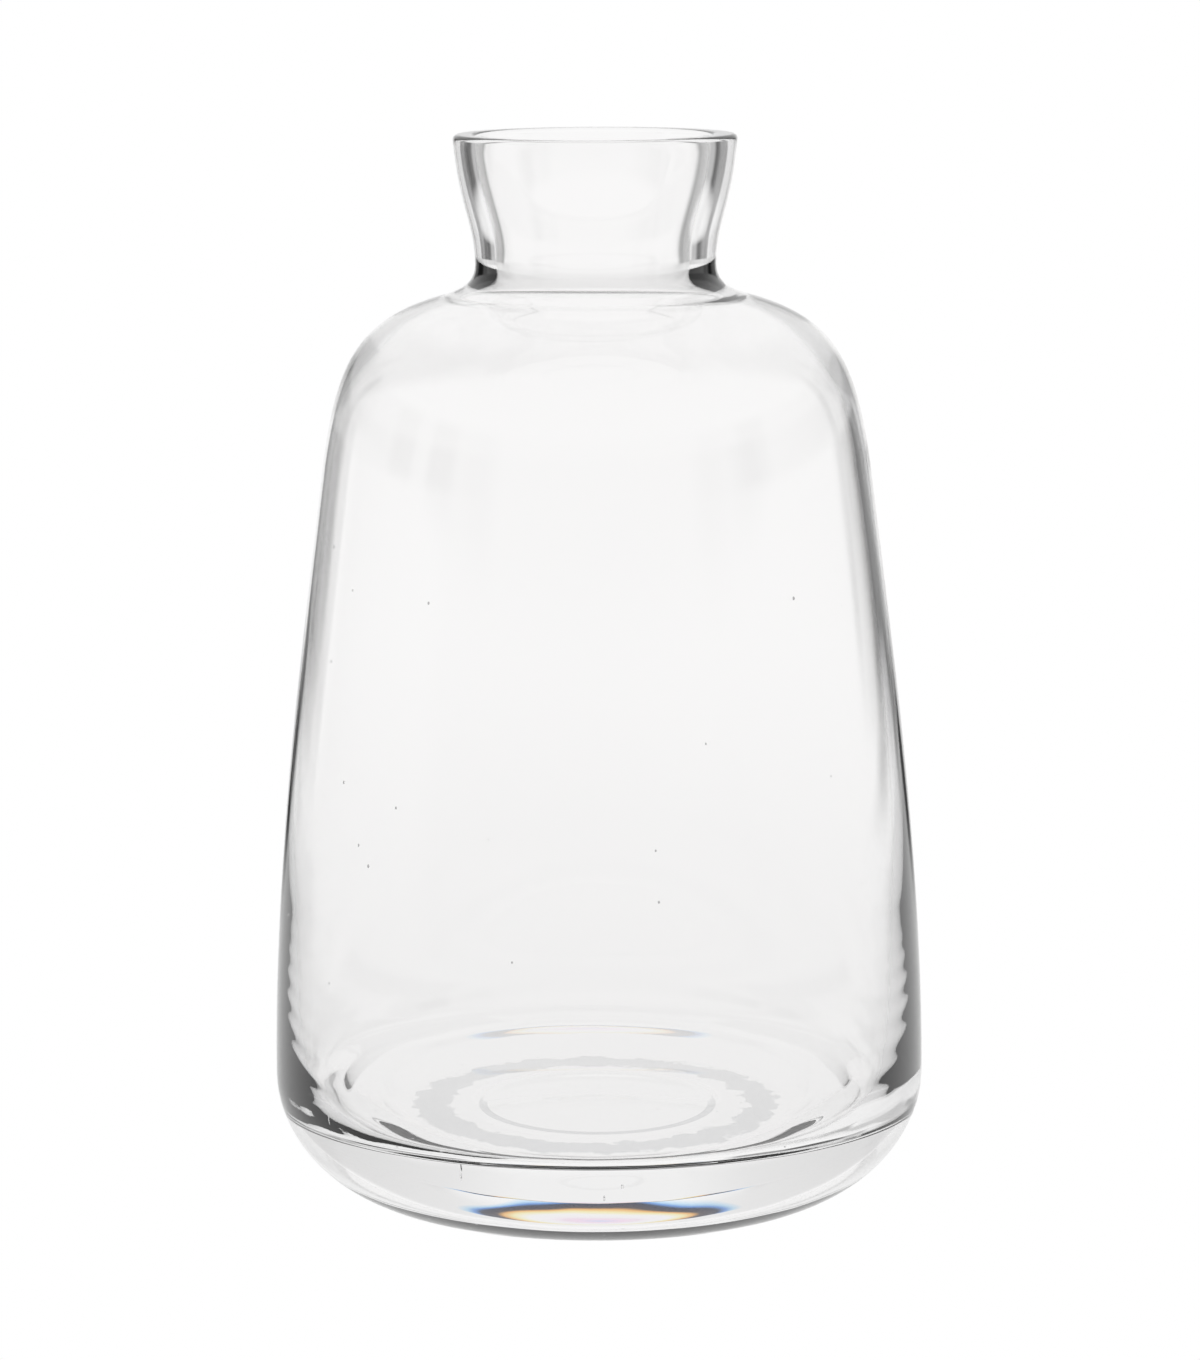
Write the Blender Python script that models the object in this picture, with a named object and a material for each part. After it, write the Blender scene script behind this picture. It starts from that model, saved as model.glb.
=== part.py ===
"""Glass bud vase: a tapered, round-heeled bottle shape with a thick floor and a short flared neck.

Metres, +Z up. The vase stands on z = 0 and its axis of turning is the Z axis. It is one mass of
glass, so its solids are the zones a glass maker names, laid edge to edge with a hairline between.
"""

import math

import bmesh
import bpy
from mathutils import Vector
from mathutils.geometry import interpolate_bezier

# Outside of the glass.
HEIGHT = 0.170
BELLY_RADIUS = 0.052
BELLY_Z = 0.0205
FOOT_RADIUS = 0.0300
PUNT_RADIUS = 0.0195
PUNT_DEPTH = 0.0016
SHOULDER_RADIUS = 0.0433
SHOULDER_Z = 0.1185
THROAT_RADIUS = 0.0241
THROAT_Z = 0.1446
NECK_RADIUS = 0.0190
NECK_Z = 0.1497
RIM_RADIUS = 0.02236

# Inside of the glass.
FLOOR_Z = 0.0153
FLOOR_RADIUS = 0.0425
CORNER_RADIUS = 0.0470
CORNER_Z = 0.0195
CAVITY_RADIUS = 0.0485
CAVITY_Z = 0.050
CAVITY_TOP_RADIUS = 0.0419
UNDER_THROAT_RADIUS = 0.0220
UNDER_THROAT_Z = 0.1431
BORE_RADIUS = 0.0153
BORE_Z = 0.1510
MOUTH_RADIUS = 0.0186
LIP_ROUND = 0.0008

# Where one zone ends and the next begins.
HEEL_TOP_Z = 0.030
LIP_Z = 0.163
HAIRLINE = 0.0003

SEGMENTS = 64
BEND_POINTS = 8
HEEL_POINTS = 11
ROUND_POINTS = 5
WELD = 1e-6

GLASS_COLOUR = (0.93, 0.95, 0.94, 1.0)
GLASS_ROUGHNESS = 0.03
GLASS_IOR = 1.51
SHARP_ANGLE = math.radians(40)


def clear_scene():
    for obj in list(bpy.data.objects):
        bpy.data.objects.remove(obj, do_unlink=True)


def bend(start, start_aim, end_aim, end, count=BEND_POINTS):
    """Points of one smooth bend, each a (radius, height) pair, with both ends in it."""
    knots = [Vector(point) for point in (start, start_aim, end_aim, end)]
    return [tuple(point) for point in interpolate_bezier(*knots, count)]


def round_over(centre, radius, first, last):
    """Points of an arc about centre, from angle first to angle last, in degrees from +radius."""
    shares = [i / (ROUND_POINTS - 1) for i in range(ROUND_POINTS)]
    angles = [math.radians(first + (last - first) * share) for share in shares]
    return [(centre[0] + radius * math.cos(a), centre[1] + radius * math.sin(a)) for a in angles]


def joined(*stretches):
    """Stretches laid end to end, each shared end kept once."""
    points = list(stretches[0])
    for stretch in stretches[1:]:
        points += stretch[1:]
    return points


def outside():
    """The outer outline, from the edge of the foot up to the flat top of the lip."""
    heel = bend(
        (FOOT_RADIUS, 0),
        (0.0420, 0),
        (BELLY_RADIUS, 0.0094),
        (BELLY_RADIUS, BELLY_Z),
        count=HEEL_POINTS,
    )
    side = bend(
        (BELLY_RADIUS, BELLY_Z),
        (BELLY_RADIUS, 0.0555),
        (0.0465, 0.0928),
        (SHOULDER_RADIUS, SHOULDER_Z),
    )
    shoulder = bend(
        (SHOULDER_RADIUS, SHOULDER_Z),
        (0.0409, 0.1351),
        (0.0373, 0.1411),
        (THROAT_RADIUS, THROAT_Z),
    )
    throat = bend(
        (THROAT_RADIUS, THROAT_Z),
        (0.0226, 0.1453),
        (NECK_RADIUS, 0.1458),
        (NECK_RADIUS, NECK_Z),
    )
    flare = bend(
        (NECK_RADIUS, NECK_Z),
        (NECK_RADIUS, 0.1562),
        (0.0214, 0.1585),
        (RIM_RADIUS, HEIGHT - LIP_ROUND),
    )
    crown = round_over((RIM_RADIUS - LIP_ROUND, HEIGHT - LIP_ROUND), LIP_ROUND, 0, 90)
    return joined(heel, side, shoulder, throat, flare, crown)


def inside():
    """The inner outline, from the edge of the cavity's flat floor up to the flat top of the lip."""
    corner = bend(
        (FLOOR_RADIUS, FLOOR_Z),
        (0.0452, FLOOR_Z),
        (0.0463, 0.0169),
        (CORNER_RADIUS, CORNER_Z),
    )
    bowl = bend(
        (CORNER_RADIUS, CORNER_Z),
        (0.0480, 0.0235),
        (0.0485, 0.0310),
        (CAVITY_RADIUS, CAVITY_Z),
    )
    side = bend(
        (CAVITY_RADIUS, CAVITY_Z),
        (0.0484, 0.0660),
        (0.0453, 0.0940),
        (CAVITY_TOP_RADIUS, SHOULDER_Z),
    )
    shoulder = bend(
        (CAVITY_TOP_RADIUS, SHOULDER_Z),
        (0.0398, 0.1330),
        (0.0350, 0.1394),
        (UNDER_THROAT_RADIUS, UNDER_THROAT_Z),
    )
    throat = bend(
        (UNDER_THROAT_RADIUS, UNDER_THROAT_Z),
        (0.0188, 0.1442),
        (BORE_RADIUS, 0.1474),
        (BORE_RADIUS, BORE_Z),
    )
    flare = bend(
        (BORE_RADIUS, BORE_Z),
        (BORE_RADIUS, 0.1565),
        (0.0182, 0.1605),
        (MOUTH_RADIUS, HEIGHT - LIP_ROUND),
    )
    crown = round_over((MOUTH_RADIUS + LIP_ROUND, HEIGHT - LIP_ROUND), LIP_ROUND, 180, 90)
    return joined(corner, bowl, side, shoulder, throat, flare, crown)


def band(outline, low, high):
    """The stretch of a rising outline between two heights, with a new point at each cut."""
    points = []
    for (r0, z0), (r1, z1) in zip(outline, outline[1:]):
        for z in (low, high):
            if z0 < z < z1:
                points.append((r0 + (r1 - r0) * (z - z0) / (z1 - z0), z))
        if low <= z1 <= high:
            points.append((r1, z1))
    return sorted(set(points), key=lambda point: point[1])


def base_section():
    """The thick floor: a flat foot ring round a shallow hollow, under the cavity's flat floor."""
    edge = FOOT_RADIUS - HAIRLINE
    punt = bend((0, PUNT_DEPTH), (0.008, PUNT_DEPTH), (0.014, 0.0012), (PUNT_RADIUS, 0))
    return punt + [(edge, 0), (edge, FLOOR_Z), (0, FLOOR_Z)]


def heel_section():
    """The round at the foot of the wall, from the foot's edge to where the wall thins."""
    outer = [(FOOT_RADIUS, 0)] + band(outside(), 0, HEEL_TOP_Z)
    inner = [(FLOOR_RADIUS, FLOOR_Z)] + band(inside(), FLOOR_Z, HEEL_TOP_Z)
    return outer + inner[::-1] + [(FOOT_RADIUS, FLOOR_Z)]


def wall_section(low, high):
    """A ring of wall between two heights."""
    return band(outside(), low, high) + band(inside(), low, high)[::-1]


def glass(name):
    """Clear soda glass with a fire-polished skin."""
    material = bpy.data.materials.new(name + "_glass")
    material.use_nodes = True
    shader = material.node_tree.nodes["Principled BSDF"]
    shader.inputs["Base Color"].default_value = GLASS_COLOUR
    shader.inputs["Metallic"].default_value = 0.0
    shader.inputs["Roughness"].default_value = GLASS_ROUGHNESS
    shader.inputs["IOR"].default_value = GLASS_IOR
    shader.inputs["Transmission Weight"].default_value = 1.0
    return material


def turned(name, section):
    """Turn a (radius, height) section about the axis into one closed solid of its own object."""
    mesh = bpy.data.meshes.new(name)
    bm = bmesh.new()
    verts = [bm.verts.new((r, 0, z)) for r, z in section]
    pairs = zip(verts, verts[1:] + verts[:1])
    edges = [bm.edges.new(pair) for pair in pairs if pair[0].co.x + pair[1].co.x > 0]
    bmesh.ops.spin(
        bm,
        geom=verts + edges,
        cent=(0, 0, 0),
        axis=(0, 0, 1),
        angle=math.tau,
        steps=SEGMENTS,
        use_merge=True,
    )
    bmesh.ops.remove_doubles(bm, verts=bm.verts, dist=WELD)
    bmesh.ops.recalc_face_normals(bm, faces=bm.faces)
    bm.to_mesh(mesh)
    bm.free()
    mesh.shade_smooth()
    mesh.set_sharp_from_angle(angle=SHARP_ANGLE)
    mesh.materials.append(glass(name))
    obj = bpy.data.objects.new(name, mesh)
    bpy.context.scene.collection.objects.link(obj)
    return obj


def main():
    clear_scene()
    turned("base", base_section())
    turned("heel", heel_section())
    turned("wall", wall_section(HEEL_TOP_Z + HAIRLINE, SHOULDER_Z))
    turned("shoulder", wall_section(SHOULDER_Z + HAIRLINE, THROAT_Z))
    turned("neck", wall_section(THROAT_Z + HAIRLINE, LIP_Z))
    turned("lip", wall_section(LIP_Z + HAIRLINE, HEIGHT))


main()
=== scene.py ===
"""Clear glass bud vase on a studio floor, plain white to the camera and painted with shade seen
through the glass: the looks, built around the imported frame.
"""

import math
import random

import bmesh
import bpy
from mathutils import Matrix, Vector, noise
from mathutils.geometry import interpolate_bezier


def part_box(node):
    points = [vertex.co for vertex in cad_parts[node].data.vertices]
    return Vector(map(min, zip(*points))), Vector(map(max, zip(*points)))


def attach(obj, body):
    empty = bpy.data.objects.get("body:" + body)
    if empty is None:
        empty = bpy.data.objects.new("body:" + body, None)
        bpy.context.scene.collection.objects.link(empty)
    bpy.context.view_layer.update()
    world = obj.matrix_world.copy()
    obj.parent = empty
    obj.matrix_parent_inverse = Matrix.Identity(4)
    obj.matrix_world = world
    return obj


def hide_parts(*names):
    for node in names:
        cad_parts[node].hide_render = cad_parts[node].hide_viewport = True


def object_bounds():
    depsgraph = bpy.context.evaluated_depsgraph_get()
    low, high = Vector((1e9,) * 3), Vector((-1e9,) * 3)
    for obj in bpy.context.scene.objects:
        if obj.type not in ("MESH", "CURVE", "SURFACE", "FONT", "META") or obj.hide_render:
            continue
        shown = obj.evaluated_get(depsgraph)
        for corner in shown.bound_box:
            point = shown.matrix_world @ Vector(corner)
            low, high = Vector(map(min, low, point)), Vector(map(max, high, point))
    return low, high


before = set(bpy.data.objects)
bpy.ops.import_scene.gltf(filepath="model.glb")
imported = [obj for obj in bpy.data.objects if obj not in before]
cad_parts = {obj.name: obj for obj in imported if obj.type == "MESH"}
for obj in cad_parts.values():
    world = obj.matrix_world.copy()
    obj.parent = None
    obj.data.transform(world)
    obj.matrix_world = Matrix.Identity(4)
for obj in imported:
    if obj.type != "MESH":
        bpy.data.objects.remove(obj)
cad_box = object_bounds()

# Outline of the glass, in metres. The overall sizes come from the frame.
HEIGHT = cad_box[1].z
BELLY = cad_box[1].x
FOOT = 0.0300
HEEL_TOP = 0.0205
PUNT_RADIUS = 0.0195
PUNT_DEPTH = 0.0016
SHOULDER = (0.0433, 0.1185)
THROAT = (0.0241, 0.1446)
NECK = (0.0190, 0.1497)
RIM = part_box("lip")[1].x
LIP_ROUND = 0.0008
FLOOR_Z = 0.0153
FLOOR_RADIUS = 0.0425
CORNER = (0.0470, 0.0195)
CAVITY = (0.0485, 0.050)
CAVITY_TOP = (0.0419, 0.119)
UNDER_THROAT = (0.0220, 0.1431)
BORE = (0.0153, 0.1510)
MOUTH = 0.0186

# The inside stands a little off the axis of the outside.
CAVITY_LEAN = -0.0006
BORE_LEAN = -0.0003

TURNS = 192
SIDE_RINGS = 44

# Unevenness of the glass: slow swells all over, ripples inside the low wall, waves on the heel.
# The foot and the top of the lip stay true.
SWELL = 0.00005
SWELL_LENGTH = 0.030
OTHER_SIDE = Vector((0, 0, 40))
RIPPLE = 0.00001
RIPPLE_LENGTH = 0.0039
RIPPLE_TOP = 0.052
RIPPLE_START = 0.003
RIPPLE_DRIFT = (1.1, 0.022)
RIPPLE_SLANT = 0.12
RIPPLE_CHANGE = (0.8, 0.014)
HEEL_WAVE = 0.00003
HEEL_WAVE_LENGTH = 0.007
TRUE_LIP = 0.004

# Air bubbles.
SEED_ORDER = 11
SEED_SIZE = 0.00017
SEED_STRETCH = 1.5
WALL_SEEDS = 22
WALL_SEED_RANGE = (0.5, 1.2)
BASE_SEEDS = 26
BASE_SEED_RANGE = (0.4, 0.8)
BASE_SEED_REACH = 0.034
BASE_SEED_HEIGHTS = (0.004, 0.013)

GLASS_COLOUR = (0.985, 0.982, 0.981, 1)
GLASS_IOR = 1.51

# Painted shade under the foot: a broken grey ring where it meets the floor, a grey line at the
# punt's brink.
RING_SHADE_COLOUR = (0.58, 0.59, 0.60, 1)
RING_SHADE_RADIUS = 0.0272
RING_SHADE_HALF = 0.0032
RING_SHADE_WANDER = 0.009
RING_SHADE_GRAIN = 190
RING_SHADE_DETAIL = 6
RING_SHADE_ROUGHNESS = 0.62
RING_SHADE_TOP = 0.0012
PUNT_BRINK_SHADE = 0.0007

# How bright the studio set is round the vase, as (azimuth in degrees, level). Azimuth 0 is
# straight behind the vase, positive to the left: dark sectors to either side of the gap stand
# in for dark flags; the sky is dimmer there, and on the floor they are painted shade.
LOW_SET = (
    (-180, 0.9), (-151, 0.95), (-110, 0.95), (-60, 0.95), (-57, 0.95), (-53, 0.52), (-48, 0.52),
    (-46, 0.35), (-43, 0.05), (-39, 0.05), (-37, 0.12), (-33, 0.28), (-22, 0.32), (-19, 1.0),
    (19, 1.0), (21, 0.30), (29, 0.30), (32, 0.05), (42, 0.05), (45, 0.20), (47, 0.52),
    (52, 0.52), (55, 1.0), (61, 0.85), (110, 1.0), (120, 0.9), (180, 0.9),
)
NEAR_SET = (
    (-180, 1.0), (-30, 0.95), (-27, 0.10), (-23, 0.10), (-20, 1.0), (20, 1.0), (22, 0.08),
    (27, 0.08), (30, 0.95), (180, 1.0),
)
RAISED_SET = (
    (-180, 0.8), (-138, 0.8), (-134, 0.5), (-127, 0.5), (-124, 0.6), (-118, 0.6), (-115, 0.1),
    (-104, 0.1), (-100, 0.7), (-60, 0.6), (-45, 0.7), (-20, 0.8), (-10, 0.9), (10, 0.9),
    (20, 0.8), (45, 0.7), (80, 0.6), (84, 0.25), (94, 0.25), (97, 0.7), (103, 0.7), (106, 0.1),
    (116, 0.1), (120, 0.6), (126, 0.5), (134, 0.5), (140, 0.8), (180, 0.8),
)

# Where each part of the set begins and is full: distances over the floor in metres, then the
# heights of a direction (sine of its elevation).
NEAR_FROM = (0.22, 0.42)
LOW_FROM = (0.55, 0.85)
# The next: the painted shade on the floor, darkest at the foot, is gone at the far end.
SHADE = (-0.2, 0.6)
RAISED_FROM = (0.07, 0.13)
SKY_FROM = (0.29, 0.37)

FLOOR_LIGHT = 0.975
# The floor's level at the foot of the vase, where its painted shade is darkest.
FLOOR_SHADE_AT_FOOT = 0.86
SKY_LIGHT = 0.95
FLOOR_RADIUS_OUT = 30.0
FLOOR_CORNERS = 96
FLOOR_DROP = 0.0004
WHITE = (1, 1, 1, 1)

# Thick glass splits white light at the edge of the bright gap. This clear film, painted on its
# underside only, hangs low behind the foot, so that nothing but the thick base looks up at it.
# The painted colours, with a painted dark band among them, run outward from the middle of an oval.
FILM_PLACE = (0, 0.178, 0.030)
FILM_WIDE = 0.027
FILM_DEEP = 0.056
FILM_EDGE = 0.139
RAINBOW = (
    (0.0, (0.72, 0.78, 1.0)), (0.20, (1.0, 0.80, 0.95)), (0.42, (1.0, 0.97, 1.0)),
    (0.58, (1.0, 1.0, 1.0)), (0.70, (1.0, 0.93, 0.55)), (0.78, (0.95, 0.55, 0.20)),
    (0.84, (0.10, 0.08, 0.09)), (0.98, (0.05, 0.06, 0.10)), (1.04, (0.18, 0.38, 0.80)),
    (1.10, (0.60, 0.82, 1.0)), (1.18, (1.0, 1.0, 1.0)),
)
RAINBOW_SHARE = 0.5

LENS = 135.9
CAMERA_ELEVATION = math.radians(9.0)
CAMERA_ROLL = math.radians(-0.25)
CAMERA_DISTANCE = 0.819
CAMERA_TARGET = Vector((0.0004, 0, 0.0832))


def bend(start, start_aim, end_aim, end, count):
    """Points of one smooth bend, each a (radius, height) pair, with both ends in it."""
    knots = [Vector(point) for point in (start, start_aim, end_aim, end)]
    return [tuple(point) for point in interpolate_bezier(*knots, count)]


def lip_corner(side, first, count=8):
    """The small round on one edge of the lip, from angle first to straight up."""
    angles = [math.radians(first + (90 - first) * i / (count - 1)) for i in range(count)]
    return [
        (side + LIP_ROUND * math.cos(a), HEIGHT - LIP_ROUND + LIP_ROUND * math.sin(a))
        for a in angles
    ]


def joined(*stretches):
    """Stretches laid end to end, each shared end kept once."""
    points = list(stretches[0])
    for stretch in stretches[1:]:
        points += stretch[1:]
    return points


def outer_side():
    return bend((BELLY, HEEL_TOP), (BELLY, 0.0555), (0.0465, 0.0928), SHOULDER, SIDE_RINGS)


def inner_side():
    return bend(CAVITY, (0.0484, 0.0660), (0.0453, 0.0940), CAVITY_TOP, SIDE_RINGS)


def outer_outline():
    """From the middle of the hollow foot up to the top of the lip."""
    return joined(
        bend((0, PUNT_DEPTH), (0.008, PUNT_DEPTH), (0.014, 0.0012), (PUNT_RADIUS, 0), 16),
        [(PUNT_RADIUS, 0), (0.022, 0), (0.0245, 0), (0.0272, 0), (FOOT, 0)],
        bend((FOOT, 0), (0.0420, 0), (BELLY, 0.0094), (BELLY, HEEL_TOP), 40),
        outer_side(),
        bend(SHOULDER, (0.0409, 0.1351), (0.0373, 0.1411), THROAT, 28),
        bend(THROAT, (0.0226, 0.1453), (NECK[0], 0.1458), NECK, 14),
        bend(NECK, (NECK[0], 0.1562), (0.0214, 0.1585), (RIM, HEIGHT - LIP_ROUND), 20),
        lip_corner(RIM - LIP_ROUND, 0),
    )


def inner_outline():
    """From the middle of the cavity's floor up to the top of the lip."""
    return joined(
        bend((0, FLOOR_Z), (0.012, FLOOR_Z), (0.02, FLOOR_Z), (FLOOR_RADIUS, FLOOR_Z), 12),
        bend((FLOOR_RADIUS, FLOOR_Z), (0.0452, FLOOR_Z), (0.0463, 0.0169), CORNER, 14),
        bend(CORNER, (0.0480, 0.0235), (0.0485, 0.0310), CAVITY, 64),
        inner_side(),
        bend(CAVITY_TOP, (0.0398, 0.1330), (0.0350, 0.1394), UNDER_THROAT, 26),
        bend(UNDER_THROAT, (0.0188, 0.1442), (BORE[0], 0.1474), BORE, 14),
        bend(BORE, (BORE[0], 0.1565), (0.0182, 0.1605), (MOUTH, HEIGHT - LIP_ROUND), 20),
        lip_corner(MOUTH + LIP_ROUND, 180),
    )


def lean(z):
    """How far the cavity and, less so, the bore stand off the axis."""
    share = min(1.0, max(0.0, (z - SHOULDER[1]) / (BORE[1] - SHOULDER[1])))
    return CAVITY_LEAN + (BORE_LEAN - CAVITY_LEAN) * share * share * (3 - 2 * share)


def swell(place, inside):
    """A slow bulge or hollow of the skin at a place; the two sides of the glass differ."""
    return SWELL * noise.noise(place / SWELL_LENGTH + OTHER_SIDE * inside)


def ripple(place):
    """Rings left inside the thick lower wall, slanting and fading upward."""
    if place.z < CORNER[1] or place.z > RIPPLE_TOP:
        return 0.0
    fade = (RIPPLE_TOP - place.z) / (RIPPLE_TOP - CORNER[1])
    start = min(1.0, (place.z - CORNER[1]) / RIPPLE_START)
    wander, length = RIPPLE_DRIFT
    drift = wander * noise.noise(place / length) + RIPPLE_SLANT * place.x / BELLY
    height = math.sin(math.tau * (place.z / RIPPLE_LENGTH + drift))
    aside = min(1.0, (place.x / BELLY) ** 2)
    change, length = RIPPLE_CHANGE
    return RIPPLE * height * fade * start * aside * (1 + change * noise.noise(place / length))


def placed(r, z, shift, a):
    """A point of the skin: its outline radius, with the unevenness of the glass."""
    place = Vector((r * math.cos(a) + shift, r * math.sin(a), z))
    if r < FOOT or z > HEIGHT - TRUE_LIP:
        return place
    inside = shift != 0
    out = swell(place, inside) + (ripple(place) if inside else 0.0)
    if z < CORNER[1]:
        out += HEEL_WAVE * noise.noise(place / HEEL_WAVE_LENGTH)
    if not inside:
        out -= SWELL
    return place + out * Vector((math.cos(a), math.sin(a), 0))


def seeds():
    """Small air bubbles shut in the glass: each a place and a half width."""
    rng = random.Random(SEED_ORDER)
    skins = [(a[1], (a[0] + b[0]) / 2) for a, b in zip(outer_side(), inner_side())]
    found = []
    for _ in range(WALL_SEEDS):
        z, middle = rng.choice(skins[6:-6])
        a = rng.uniform(0, math.tau)
        place = Vector((middle * math.cos(a), middle * math.sin(a), z))
        found.append((place, rng.uniform(*WALL_SEED_RANGE) * SEED_SIZE))
    for _ in range(BASE_SEEDS):
        r, a = BASE_SEED_REACH * math.sqrt(rng.random()), rng.uniform(0, math.tau)
        place = Vector((r * math.cos(a), r * math.sin(a), rng.uniform(*BASE_SEED_HEIGHTS)))
        found.append((place, rng.uniform(*BASE_SEED_RANGE) * SEED_SIZE))
    return found


def add_seeds(bm):
    """Each bubble is a tall round hole in the glass, so its skin faces inward."""
    for place, half in seeds():
        made = bmesh.ops.create_icosphere(bm, subdivisions=2, radius=half)
        bmesh.ops.scale(bm, vec=(1, 1, SEED_STRETCH), verts=made["verts"])
        bmesh.ops.translate(bm, vec=place, verts=made["verts"])
        skin = {face for vert in made["verts"] for face in vert.link_faces}
        bmesh.ops.reverse_faces(bm, faces=list(skin))


def turned_glass():
    """The whole skin of the glass, outside and inside, as one closed mesh."""
    outer, inner = outer_outline(), inner_outline()
    outline = [(r, z, 0.0) for r, z in outer[1:]] + [(r, z, lean(z)) for r, z in inner[-1:0:-1]]
    bm = bmesh.new()
    foot = bm.verts.new((0, 0, outer[0][1]))
    floor_middle = bm.verts.new((lean(FLOOR_Z), 0, inner[0][1]))
    rings = [
        [bm.verts.new(placed(r, z, shift, math.tau * i / TURNS)) for i in range(TURNS)]
        for r, z, shift in outline
    ]
    for below, above in zip(rings, rings[1:]):
        for i in range(TURNS):
            j = (i + 1) % TURNS
            bm.faces.new((below[i], below[j], above[j], above[i]))
    for i in range(TURNS):
        j = (i + 1) % TURNS
        bm.faces.new((foot, rings[0][j], rings[0][i]))
        bm.faces.new((floor_middle, rings[-1][i], rings[-1][j]))
    bmesh.ops.recalc_face_normals(bm, faces=bm.faces)
    add_seeds(bm)
    mesh = bpy.data.meshes.new("glass_vase")
    bm.to_mesh(mesh)
    bm.free()
    mesh.shade_smooth()
    obj = bpy.data.objects.new("glass_vase", mesh)
    bpy.context.scene.collection.objects.link(obj)
    return obj


def feed(links, sockets, values):
    """Give each socket its value, or a link when the value is another node's output."""
    for socket, value in zip(sockets, values):
        if isinstance(value, bpy.types.NodeSocket):
            links.new(value, socket)
        else:
            socket.default_value = value


def maths(nodes, links, operation, *values):
    node = nodes.new("ShaderNodeMath")
    node.operation = operation
    feed(links, node.inputs, values)
    return node.outputs[0]


def length_of(nodes, links, place, scale):
    """How far a place is from the middle, after scaling it."""
    scaled = nodes.new("ShaderNodeVectorMath")
    scaled.operation = "MULTIPLY"
    feed(links, scaled.inputs, (place, scale))
    length = nodes.new("ShaderNodeVectorMath")
    length.operation = "LENGTH"
    links.new(scaled.outputs[0], length.inputs[0])
    return length.outputs["Value"]


def mixed(nodes, links, factor, low, high):
    node = nodes.new("ShaderNodeMix")
    feed(links, (node.inputs[0], node.inputs[2], node.inputs[3]), (factor, low, high))
    return node.outputs[0]


def mixed_colour(nodes, links, factor, low, high):
    node = nodes.new("ShaderNodeMix")
    node.data_type = "RGBA"
    feed(links, (node.inputs[0], node.inputs[6], node.inputs[7]), (factor, low, high))
    return node.outputs[2]


def between(nodes, links, source, low, high):
    """Nought below the low end, one above the high end, with a soft step between."""
    node = nodes.new("ShaderNodeMapRange")
    node.interpolation_type = "SMOOTHSTEP"
    node.inputs["From Min"].default_value = low
    node.inputs["From Max"].default_value = high
    links.new(source, node.inputs["Value"])
    return node.outputs[0]


def ramp(nodes, links, source, stops):
    """Follow a value through (position, colour) stops."""
    node = nodes.new("ShaderNodeValToRGB")
    elements = node.color_ramp.elements
    while len(elements) < len(stops):
        elements.new(0.5)
    for element, (position, colour) in zip(elements, stops):
        element.position = position
        element.color = (*colour, 1)
    links.new(source, node.inputs[0])
    return node.outputs[0]


def clear_glass():
    """Clear glass with painted shade underneath: a broken grey ring on the foot where it meets the
    floor, and a thin grey ring at the brink of the punt.
    """
    material = bpy.data.materials.new("clear_glass")
    material.use_nodes = True
    nodes, links = material.node_tree.nodes, material.node_tree.links
    shader = nodes["Principled BSDF"]
    place = nodes.new("ShaderNodeTexCoord").outputs["Object"]
    split = nodes.new("ShaderNodeSeparateXYZ")
    links.new(place, split.inputs[0])
    length = length_of(nodes, links, place, (1, 1, 0))
    wander = nodes.new("ShaderNodeTexNoise")
    wander.inputs["Scale"].default_value = RING_SHADE_GRAIN
    wander.inputs["Detail"].default_value = RING_SHADE_DETAIL
    wander.inputs["Roughness"].default_value = RING_SHADE_ROUGHNESS
    links.new(place, wander.inputs["Vector"])
    # Painted shade: a grey ring on the foot where it meets the floor, broken up by noise.
    away = maths(nodes, links, "MULTIPLY_ADD", wander.outputs[0], RING_SHADE_WANDER, length)
    off = maths(nodes, links, "SUBTRACT", away, RING_SHADE_RADIUS + RING_SHADE_WANDER / 2)
    off = maths(nodes, links, "ABSOLUTE", off)
    ring = nodes.new("ShaderNodeMapRange")
    ring.inputs["From Min"].default_value = RING_SHADE_HALF
    ring.inputs["From Max"].default_value = RING_SHADE_HALF * 0.8
    links.new(off, ring.inputs["Value"])
    under = maths(nodes, links, "LESS_THAN", split.outputs["Z"], RING_SHADE_TOP)
    # Painted shade: a thin grey line round the brink of the punt.
    brink_shade = maths(nodes, links, "COMPARE", length, PUNT_RADIUS - PUNT_BRINK_SHADE, PUNT_BRINK_SHADE)
    either = maths(nodes, links, "MAXIMUM", ring.outputs[0], brink_shade)
    painted_shade = maths(nodes, links, "MULTIPLY", either, under)
    # The glass turns grey where the painted shade lies, on the underside only.
    colour = mixed_colour(nodes, links, painted_shade, GLASS_COLOUR, RING_SHADE_COLOUR)
    links.new(colour, shader.inputs["Base Color"])
    shader.inputs["Roughness"].default_value = 0.0
    shader.inputs["IOR"].default_value = GLASS_IOR
    shader.inputs["Transmission Weight"].default_value = 1.0
    return material


def set_group():
    """The studio set seen round the vase: how bright it is in the direction of a place."""
    group = bpy.data.node_groups.new("studio_set", "ShaderNodeTree")
    group.interface.new_socket("Place", in_out="INPUT", socket_type="NodeSocketVector")
    for name in ("Near", "Low", "Raised"):
        group.interface.new_socket(name, in_out="OUTPUT", socket_type="NodeSocketFloat")
    nodes, links = group.nodes, group.links
    entry, leave = nodes.new("NodeGroupInput"), nodes.new("NodeGroupOutput")
    split = nodes.new("ShaderNodeSeparateXYZ")
    links.new(entry.outputs["Place"], split.inputs[0])
    turn = maths(nodes, links, "ARCTAN2", split.outputs["X"], split.outputs["Y"])
    share = nodes.new("ShaderNodeMapRange")
    share.inputs["From Min"].default_value = math.pi
    share.inputs["From Max"].default_value = -math.pi
    links.new(turn, share.inputs["Value"])
    for name, stops in (("Near", NEAR_SET), ("Low", LOW_SET), ("Raised", RAISED_SET)):
        greys = [((azimuth + 180) / 360, (level,) * 3) for azimuth, level in stops]
        links.new(ramp(nodes, links, share.outputs[0], greys), leave.inputs[name])
    return group


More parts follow.
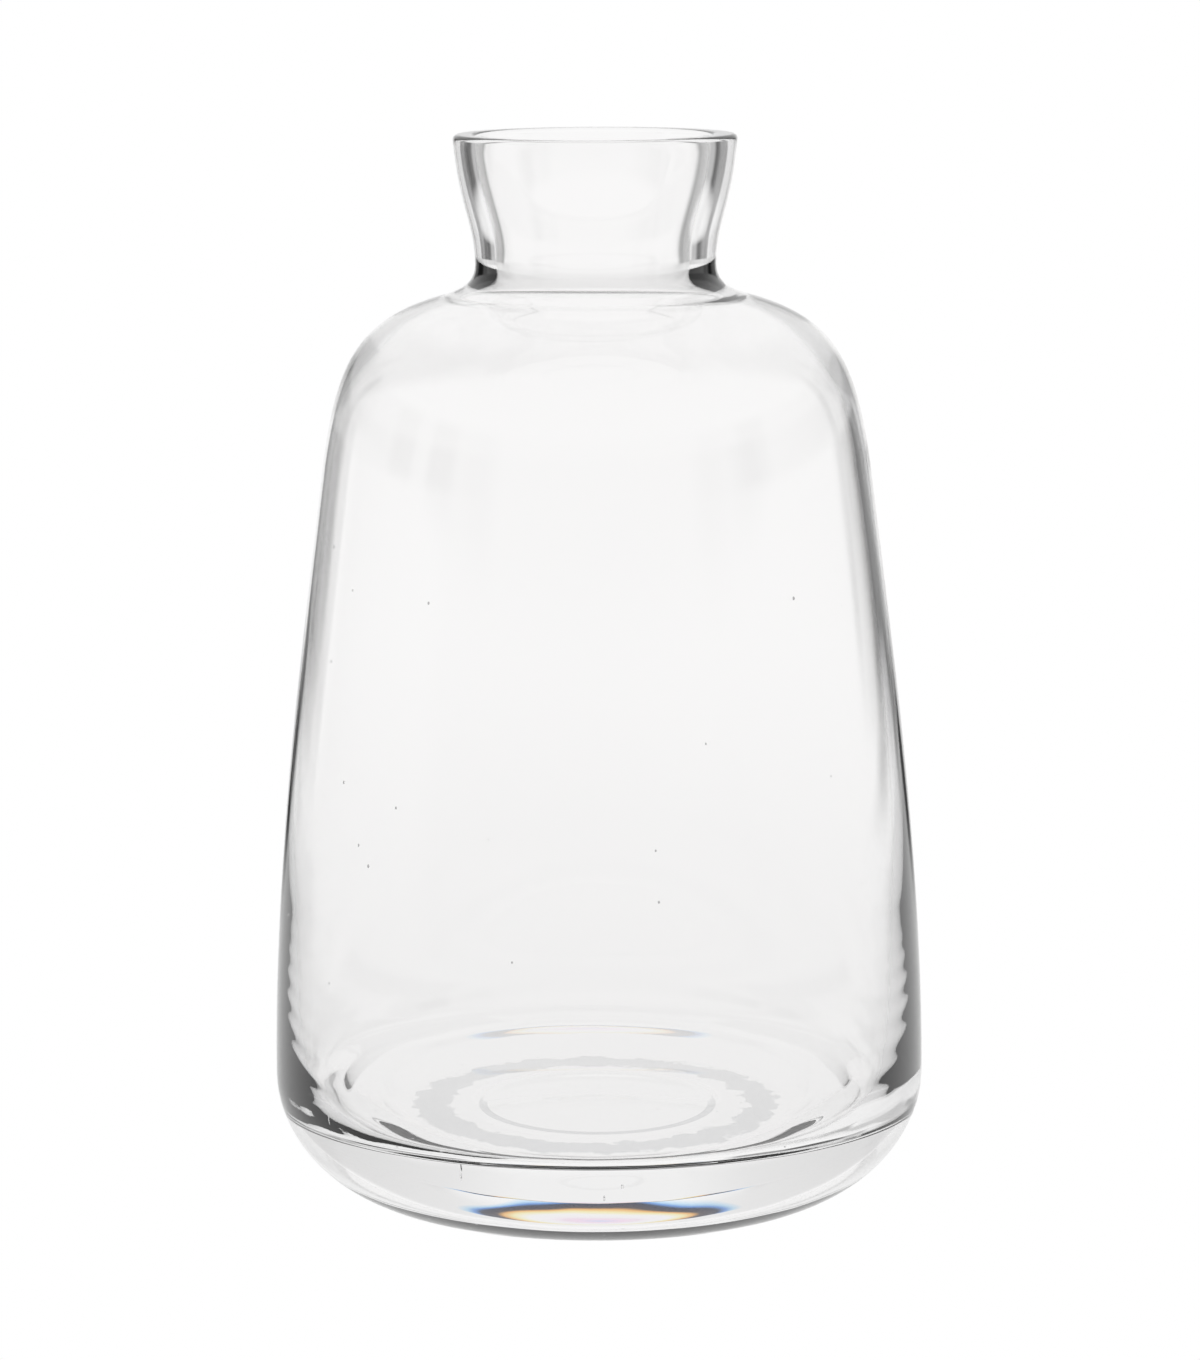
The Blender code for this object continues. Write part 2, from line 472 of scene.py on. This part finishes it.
def set_around(nodes, links, group, place):
    """The studio set's levels in the direction of a place."""
    around = nodes.new("ShaderNodeGroup")
    around.node_tree = group
    links.new(place, around.inputs["Place"])
    return around.outputs


def white_to_camera(nodes, links, level):
    """Plain white where the camera looks straight at it, the set's level through the glass."""
    path = nodes.new("ShaderNodeLightPath")
    return mixed(nodes, links, path.outputs["Is Camera Ray"], level, 1.0)


def staged(name, mesh, location, material):
    """An object of the studio, which is not part of the vase."""
    obj = bpy.data.objects.new(name, mesh)
    obj.location = location
    bpy.context.scene.collection.objects.link(obj)
    mesh.materials.append(material)


# The floor glows. The camera sees it plain white; through the glass it shows the set's painted dark
# sectors and painted shade darkening towards the foot.
def floor(group):
    mesh = bpy.data.meshes.new("floor")
    bm = bmesh.new()
    bmesh.ops.create_circle(bm, cap_ends=True, segments=FLOOR_CORNERS, radius=FLOOR_RADIUS_OUT)
    bm.to_mesh(mesh)
    bm.free()
    material = bpy.data.materials.new("glowing_floor_painted_shade")
    material.use_nodes = True
    nodes, links = material.node_tree.nodes, material.node_tree.links
    nodes.clear()
    place = nodes.new("ShaderNodeTexCoord").outputs["Object"]
    around = set_around(nodes, links, group, place)
    length = length_of(nodes, links, place, (1, 1, 1))
    out_near = between(nodes, links, length, *NEAR_FROM)
    out_low = between(nodes, links, length, *LOW_FROM)
    near = mixed(nodes, links, out_near, 1.0, around["Near"])
    level = mixed(nodes, links, out_low, near, around["Low"])
    # Painted shade: the floor darkens towards the foot of the vase.
    shade = mixed(nodes, links, between(nodes, links, length, *SHADE), FLOOR_SHADE_AT_FOOT, FLOOR_LIGHT)
    lit = maths(nodes, links, "MULTIPLY", level, shade)
    emit = nodes.new("ShaderNodeEmission")
    emit.inputs["Color"].default_value = WHITE
    links.new(white_to_camera(nodes, links, lit), emit.inputs["Strength"])
    out = nodes.new("ShaderNodeOutputMaterial")
    links.new(emit.outputs[0], out.inputs["Surface"])
    staged("floor", mesh, (0, 0, -FLOOR_DROP), material)


def studio(group):
    world = bpy.data.worlds.new("studio")
    bpy.context.scene.world = world
    world.use_nodes = True
    nodes, links = world.node_tree.nodes, world.node_tree.links
    nodes.clear()
    place = nodes.new("ShaderNodeTexCoord").outputs["Generated"]
    around = set_around(nodes, links, group, place)
    split = nodes.new("ShaderNodeSeparateXYZ")
    links.new(place, split.inputs[0])
    raised = between(nodes, links, split.outputs["Z"], *RAISED_FROM)
    high = between(nodes, links, split.outputs["Z"], *SKY_FROM)
    low = mixed(nodes, links, raised, around["Low"], around["Raised"])
    lit = maths(nodes, links, "MULTIPLY", low, FLOOR_LIGHT)
    level = mixed(nodes, links, high, lit, SKY_LIGHT)
    back = nodes.new("ShaderNodeBackground")
    back.inputs["Color"].default_value = WHITE
    links.new(white_to_camera(nodes, links, level), back.inputs["Strength"])
    out = nodes.new("ShaderNodeOutputWorld")
    links.new(back.outputs[0], out.inputs["Surface"])


def rainbow_film():
    """The film with its oval rainbow, clear from above."""
    reach = RAINBOW[-1][0]
    wide, far, near = FILM_WIDE * reach, FILM_DEEP * reach, FILM_EDGE - FILM_PLACE[1]
    corners = [(-wide, near, 0), (wide, near, 0), (wide, far, 0), (-wide, far, 0)]
    mesh = bpy.data.meshes.new("rainbow_film")
    mesh.from_pydata(corners, [], [(0, 1, 2, 3)])
    material = bpy.data.materials.new("painted_film")
    material.use_nodes = True
    nodes, links = material.node_tree.nodes, material.node_tree.links
    nodes.clear()
    place = nodes.new("ShaderNodeTexCoord").outputs["Object"]
    out_from_middle = length_of(nodes, links, place, (1 / FILM_WIDE, 1 / FILM_DEEP, 0))
    share = maths(nodes, links, "MULTIPLY", out_from_middle, RAINBOW_SHARE)
    stops = [(position * RAINBOW_SHARE, colour) for position, colour in RAINBOW]
    paint = ramp(nodes, links, share, stops)
    side = nodes.new("ShaderNodeNewGeometry")
    film = nodes.new("ShaderNodeBsdfTransparent")
    seen = mixed_colour(nodes, links, side.outputs["Backfacing"], WHITE, paint)
    links.new(seen, film.inputs["Color"])
    out = nodes.new("ShaderNodeOutputMaterial")
    links.new(film.outputs[0], out.inputs["Surface"])
    staged("rainbow_film", mesh, FILM_PLACE, material)


def camera():
    data = bpy.data.cameras.new("camera")
    cam = bpy.data.objects.new("camera", data)
    bpy.context.scene.collection.objects.link(cam)
    data.lens = LENS
    back = Vector((0, -math.cos(CAMERA_ELEVATION), math.sin(CAMERA_ELEVATION)))
    cam.location = CAMERA_TARGET + back * CAMERA_DISTANCE
    facing = (-back).to_track_quat("-Z", "Y").to_matrix()
    cam.rotation_euler = (facing @ Matrix.Rotation(CAMERA_ROLL, 3, "Z")).to_euler()
    bpy.context.scene.camera = cam


glass = turned_glass()
glass.data.materials.append(clear_glass())
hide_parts("base", "heel", "wall", "shoulder", "neck", "lip")
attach(glass, "root")
group = set_group()
floor(group)
studio(group)
rainbow_film()
camera()
bpy.context.scene.view_settings.view_transform = "Standard"
